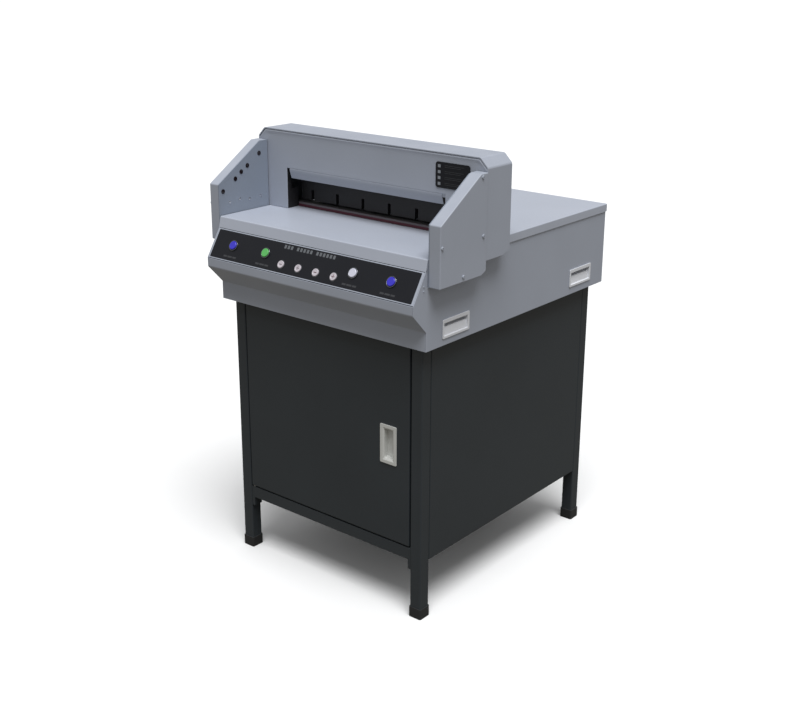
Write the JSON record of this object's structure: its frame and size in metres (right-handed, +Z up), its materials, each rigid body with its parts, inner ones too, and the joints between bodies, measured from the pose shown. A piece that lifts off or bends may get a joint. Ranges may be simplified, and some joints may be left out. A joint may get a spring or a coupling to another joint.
{
  "type": "guillotine paper cutter",
  "caption": "Floor-standing electric guillotine paper cutter with side guards, sloping button panel, clamp, knife and backgauge on a dark cabinet stand.",
  "frame": {"origin": "centre of the bounding box, on the floor", "axes": "+Z up; the operator stands at -Y facing +Y; +X to the operator's right"},
  "size_m": [0.672, 0.749, 1.026],
  "materials": {
    "grey_paint": "satin",
    "table_paint": "satin",
    "cabinet_paint": "satin",
    "black_paint": "matte",
    "steel": "ground",
    "dark_steel": "machined",
    "black_plastic": "matte",
    "grey_plastic": "matte",
    "red_plastic": "matte",
    "blue_plastic": "gloss",
    "green_plastic": "gloss",
    "white_plastic": "gloss"
  },
  "bodies": {
    "frame": {"housing_side_left": "grey_paint", "housing_side_right": "grey_paint", "rear_panel": "grey_paint", "front_fascia": "grey_paint", "guard_left": "grey_paint", "guard_right": "grey_paint", "light_curtain_left": "grey_paint", "light_curtain_right": "grey_paint", "gantry_hood": "grey_paint", "front_plate": "grey_paint", "front_lip": "grey_paint", "gantry_rear_cover": "grey_paint", "front_table": "table_paint", "rear_table": "table_paint", "leg_front_left": "cabinet_paint", "leg_front_right": "cabinet_paint", "leg_rear_left": "cabinet_paint", "leg_rear_right": "cabinet_paint", "cabinet_side_left": "cabinet_paint", "cabinet_side_right": "cabinet_paint", "cabinet_back": "cabinet_paint", "cabinet_rail": "cabinet_paint", "cabinet_floor": "cabinet_paint", "base_plate": "cabinet_paint", "throat_cheek_left": "black_paint", "throat_cheek_right": "black_paint", "backgauge_motor": "black_paint", "bed": "steel", "gantry_frame": "dark_steel", "knife_gearmotor": "dark_steel", "control_panel": "black_plastic", "power_inlet": "black_plastic", "foot_cap_front_left": "black_plastic", "foot_cap_front_right": "black_plastic", "foot_cap_rear_left": "black_plastic", "foot_cap_rear_right": "black_plastic", "carry_handle_front_left": "grey_plastic", "carry_handle_front_right": "grey_plastic", "carry_handle_rear_left": "grey_plastic", "carry_handle_rear_right": "grey_plastic", "cutting_stick": "red_plastic"},
    "door": {"door": "cabinet_paint", "door_pull": "grey_plastic"},
    "clamp": {"clamp": "black_paint"},
    "clamp_screw": {"clamp_screw": "steel"},
    "knife": {"knife_blade": "steel", "knife_carrier": "dark_steel", "pull_rod": "dark_steel"},
    "crank": {"crank_disc": "dark_steel"},
    "backgauge": {"backgauge_fence": "steel", "backgauge_carriage": "dark_steel"},
    "backgauge_screw": {"backgauge_screw": "steel"},
    "button_forward_body": {"button_forward": "blue_plastic"},
    "button_start_body": {"button_start": "green_plastic"},
    "button_clamp_body": {"button_clamp": "white_plastic"},
    "button_cut_body": {"button_cut": "blue_plastic"},
    "key_1_body": {"key_1": "white_plastic"},
    "key_2_body": {"key_2": "white_plastic"},
    "key_3_body": {"key_3": "white_plastic"},
    "key_4_body": {"key_4": "white_plastic"}
  },
  "joints": [
    {"name": "door_hinge", "type": "hinge", "parent": "frame", "child": "door", "pos_m": [-0.244, -0.3085, 0.4], "axis": [0, 0, -1], "range_deg": [0, 105]},
    {"name": "clamp_slide", "type": "slide", "parent": "frame", "child": "clamp", "axis": [0, 0, 1], "range_m": [-0.0055, 0.045]},
    {"name": "clamp_screw_spin", "type": "hinge", "parent": "frame", "child": "clamp_screw", "pos_m": [-0.011, -0.1055, 0.96], "axis": [0, 0, 1], "range_deg": [-250, 2030]},
    {"name": "knife_slide", "type": "slide", "parent": "frame", "child": "knife", "axis": [-0.2872, 0, -0.9579], "range_m": [0, 0.0696]},
    {"name": "crank_spin", "type": "hinge", "parent": "frame", "child": "crank", "pos_m": [0.26, -0.1665, 0.705], "axis": [0, -1, 0], "range_deg": [0, 181]},
    {"name": "backgauge_slide", "type": "slide", "parent": "frame", "child": "backgauge", "axis": [0, 1, 0], "range_m": [0, 0.34]},
    {"name": "backgauge_screw_spin", "type": "hinge", "parent": "frame", "child": "backgauge_screw", "pos_m": [0, 0.1175, 0.8], "axis": [0, 1, 0], "range_deg": [-10, 6130]},
    {"name": "button_forward_press", "type": "slide", "parent": "frame", "child": "button_forward_body", "axis": [0, 0.8503, -0.5264], "range_m": [0, 0.003], "stiffness_N_per_m": 400, "springref_m": -0.002},
    {"name": "button_start_press", "type": "slide", "parent": "frame", "child": "button_start_body", "axis": [0, 0.8503, -0.5264], "range_m": [0, 0.003], "stiffness_N_per_m": 400, "springref_m": -0.002},
    {"name": "button_clamp_press", "type": "slide", "parent": "frame", "child": "button_clamp_body", "axis": [0, 0.8503, -0.5264], "range_m": [0, 0.003], "stiffness_N_per_m": 400, "springref_m": -0.002},
    {"name": "button_cut_press", "type": "slide", "parent": "frame", "child": "button_cut_body", "axis": [0, 0.8503, -0.5264], "range_m": [0, 0.003], "stiffness_N_per_m": 400, "springref_m": -0.002},
    {"name": "key_1_press", "type": "slide", "parent": "frame", "child": "key_1_body", "axis": [0, 0.8503, -0.5264], "range_m": [0, 0.0015], "stiffness_N_per_m": 400, "springref_m": -0.002},
    {"name": "key_2_press", "type": "slide", "parent": "frame", "child": "key_2_body", "axis": [0, 0.8503, -0.5264], "range_m": [0, 0.0015], "stiffness_N_per_m": 400, "springref_m": -0.002},
    {"name": "key_3_press", "type": "slide", "parent": "frame", "child": "key_3_body", "axis": [0, 0.8503, -0.5264], "range_m": [0, 0.0015], "stiffness_N_per_m": 400, "springref_m": -0.002},
    {"name": "key_4_press", "type": "slide", "parent": "frame", "child": "key_4_body", "axis": [0, 0.8503, -0.5264], "range_m": [0, 0.0015], "stiffness_N_per_m": 400, "springref_m": -0.002}
  ],
  "couplings": [
    {"joint": "clamp_screw_spin", "follows": "clamp_slide", "rad_per_m": 785.4},
    {"joint": "crank_spin", "follows": "knife_slide", "rad_per_m": 45.138},
    {"joint": "backgauge_screw_spin", "follows": "backgauge_slide", "rad_per_m": 314.16}
  ]
}
